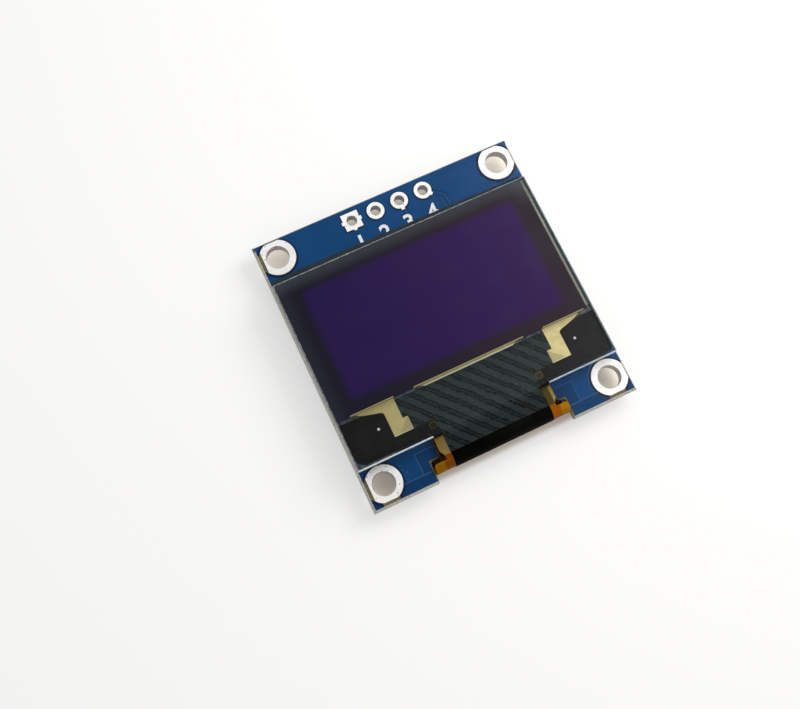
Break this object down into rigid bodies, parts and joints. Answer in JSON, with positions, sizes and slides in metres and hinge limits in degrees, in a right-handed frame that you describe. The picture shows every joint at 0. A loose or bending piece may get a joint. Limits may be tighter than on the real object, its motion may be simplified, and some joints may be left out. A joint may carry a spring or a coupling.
{
  "type": "small oled module",
  "caption": "Square blue circuit board with a dark glass display over its front, plated holes at its corners, a header row along one edge and a film wrapped through a notch to its back.",
  "frame": {"origin": "middle of the board in plan, at the height of the lowest face of the parts on its back", "axes": "+Z out of the display, +Y towards the header row, +X to the right as the display is read"},
  "size_m": [0.0274, 0.0278, 0.0039],
  "materials": {
    "laminate": "pale tan woven glass laminate",
    "solder_mask": "glossy blue lacquer",
    "tinned_copper": "bright tinned copper",
    "panel_glass": "clear cut glass",
    "seal": "dull epoxy",
    "emitter": "deep purple",
    "polarizer": "smooth dark film",
    "tape": "black foam",
    "amber_film": "translucent amber polyimide",
    "black_ink": "satin black",
    "pale_gold": "pale gold metal film",
    "striped_copper": "dark slate over copper, with slanting stripes",
    "solder": "bright solder",
    "silicon": "polished dark silicon",
    "black_moulding": "satin black epoxy",
    "tinned_lead": "tinned",
    "capacitor_ceramic": "tan ceramic",
    "alumina": "white ceramic",
    "resistor_coat": "black glaze"
  },
  "bodies": {
    "root": {"header_pad_1": "tinned_copper", "header_pad_2": "tinned_copper", "header_pad_3": "tinned_copper", "header_pad_4": "tinned_copper", "back_solder_mask": "solder_mask", "capacitor_1_body": "capacitor_ceramic", "capacitor_1_ends": "tinned_lead", "capacitor_2_body": "capacitor_ceramic", "capacitor_2_ends": "tinned_lead", "capacitor_3_body": "capacitor_ceramic", "capacitor_3_ends": "tinned_lead", "capacitor_4_body": "capacitor_ceramic", "capacitor_4_ends": "tinned_lead", "capacitor_5_body": "capacitor_ceramic", "capacitor_5_ends": "tinned_lead", "capacitor_6_body": "capacitor_ceramic", "capacitor_6_ends": "tinned_lead", "capacitor_7_body": "capacitor_ceramic", "capacitor_7_ends": "tinned_lead", "chip_solder": "solder", "diode_body": "black_moulding", "diode_leads": "tinned_lead", "driver_chip": "silicon", "emitter_film": "emitter", "film_base": "amber_film", "film_bend_ink": "black_ink", "film_fiducials": "tinned_copper", "film_field": "striped_copper", "film_ink_left": "black_ink", "film_ink_right": "black_ink", "film_lead_left": "pale_gold", "film_lead_middle": "pale_gold", "film_lead_right": "pale_gold", "film_solder_joints": "solder", "front_glass": "panel_glass", "front_solder_mask": "solder_mask", "mounting_ring_1": "tinned_copper", "mounting_ring_2": "tinned_copper", "mounting_ring_3": "tinned_copper", "mounting_ring_4": "tinned_copper", "panel_tape_lower": "tape", "panel_tape_upper": "tape", "polarizer": "polarizer", "printed_board": "laminate", "rear_glass": "panel_glass", "regulator_body": "black_moulding", "regulator_leads": "tinned_lead", "resistor_1_body": "alumina", "resistor_1_ends": "tinned_lead", "resistor_2_body": "alumina", "resistor_2_ends": "tinned_lead", "resistor_3_body": "alumina", "resistor_3_ends": "tinned_lead", "resistor_4_body": "alumina", "resistor_4_ends": "tinned_lead", "resistor_5_body": "alumina", "resistor_5_ends": "tinned_lead", "resistor_coats": "resistor_coat", "seal_frame": "seal"}
  },
  "joints": []
}
